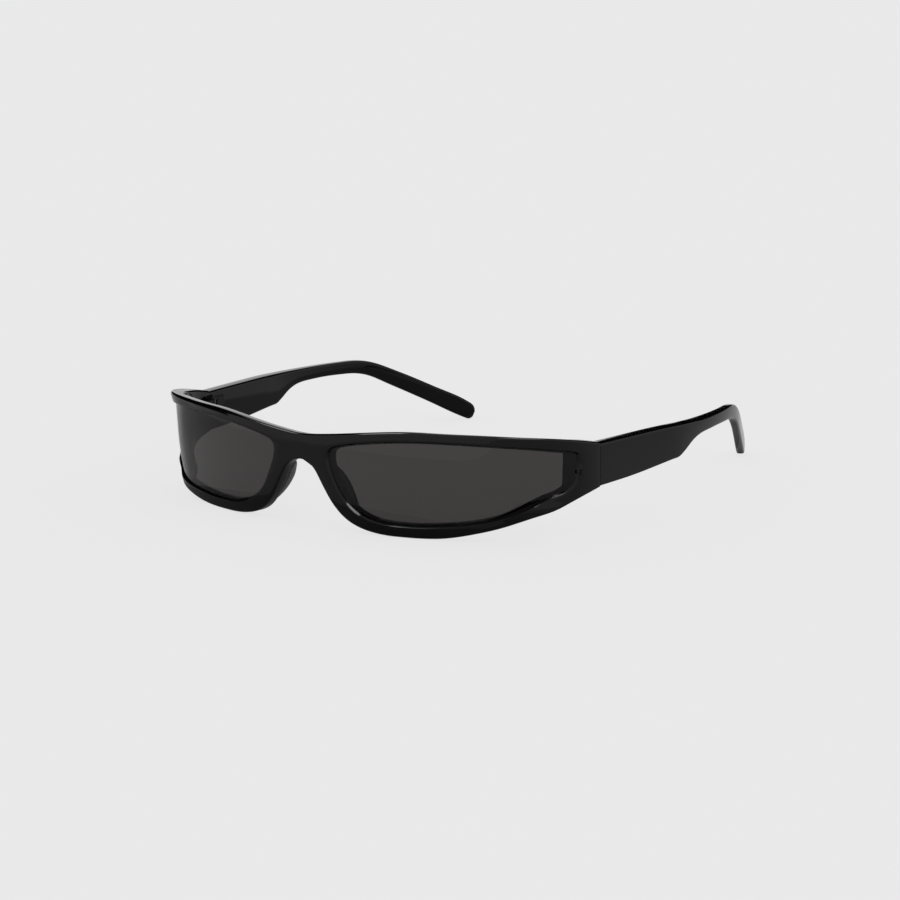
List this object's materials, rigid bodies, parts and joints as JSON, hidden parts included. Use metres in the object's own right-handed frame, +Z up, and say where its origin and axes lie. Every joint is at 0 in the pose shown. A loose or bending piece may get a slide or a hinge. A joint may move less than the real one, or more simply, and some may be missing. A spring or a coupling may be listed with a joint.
{
  "type": "sunglasses",
  "caption": "Slim wraparound sunglasses with a glossy black front, tinted curved lenses and folding temples on riveted hinges.",
  "frame": {"origin": "middle of the bounding box, on the surface that the open sunglasses stand on", "axes": "+X towards the wearer's left, the front faces -Y, +Y along the temples to their tips, +Z up"},
  "size_m": [0.1466, 0.1484, 0.0287],
  "materials": {
    "frame": "glossy",
    "lens": "glossy",
    "pad": "satin",
    "hinge": "satin",
    "steel": "satin"
  },
  "bodies": {
    "front": {"frame_front": "frame", "lens_left": "lens", "lens_right": "lens", "nose_pad_left": "pad", "nose_pad_right": "pad", "hinge_front_leaf_left": "hinge", "hinge_front_leaf_right": "hinge", "front_rivets_left": "hinge", "front_rivets_right": "hinge", "hinge_screw_left": "hinge", "hinge_screw_right": "hinge"},
    "arm_left": {"temple_left": "frame", "hinge_temple_leaf_left": "hinge", "temple_rivets_left": "hinge", "core_wire_left": "steel"},
    "arm_right": {"temple_right": "hinge", "hinge_temple_leaf_right": "hinge", "temple_rivets_right": "hinge", "core_wire_right": "steel"}
  },
  "joints": [
    {"name": "temple_left_fold", "type": "hinge", "parent": "front", "child": "arm_left", "pos_m": [0.06548, -0.03413, 0.0181], "axis": [0, 0, 1], "range_deg": [0, 80]},
    {"name": "temple_right_fold", "type": "hinge", "parent": "front", "child": "arm_right", "pos_m": [-0.06548, -0.03413, 0.0181], "axis": [0, 0, -1], "range_deg": [0, 92]}
  ]
}
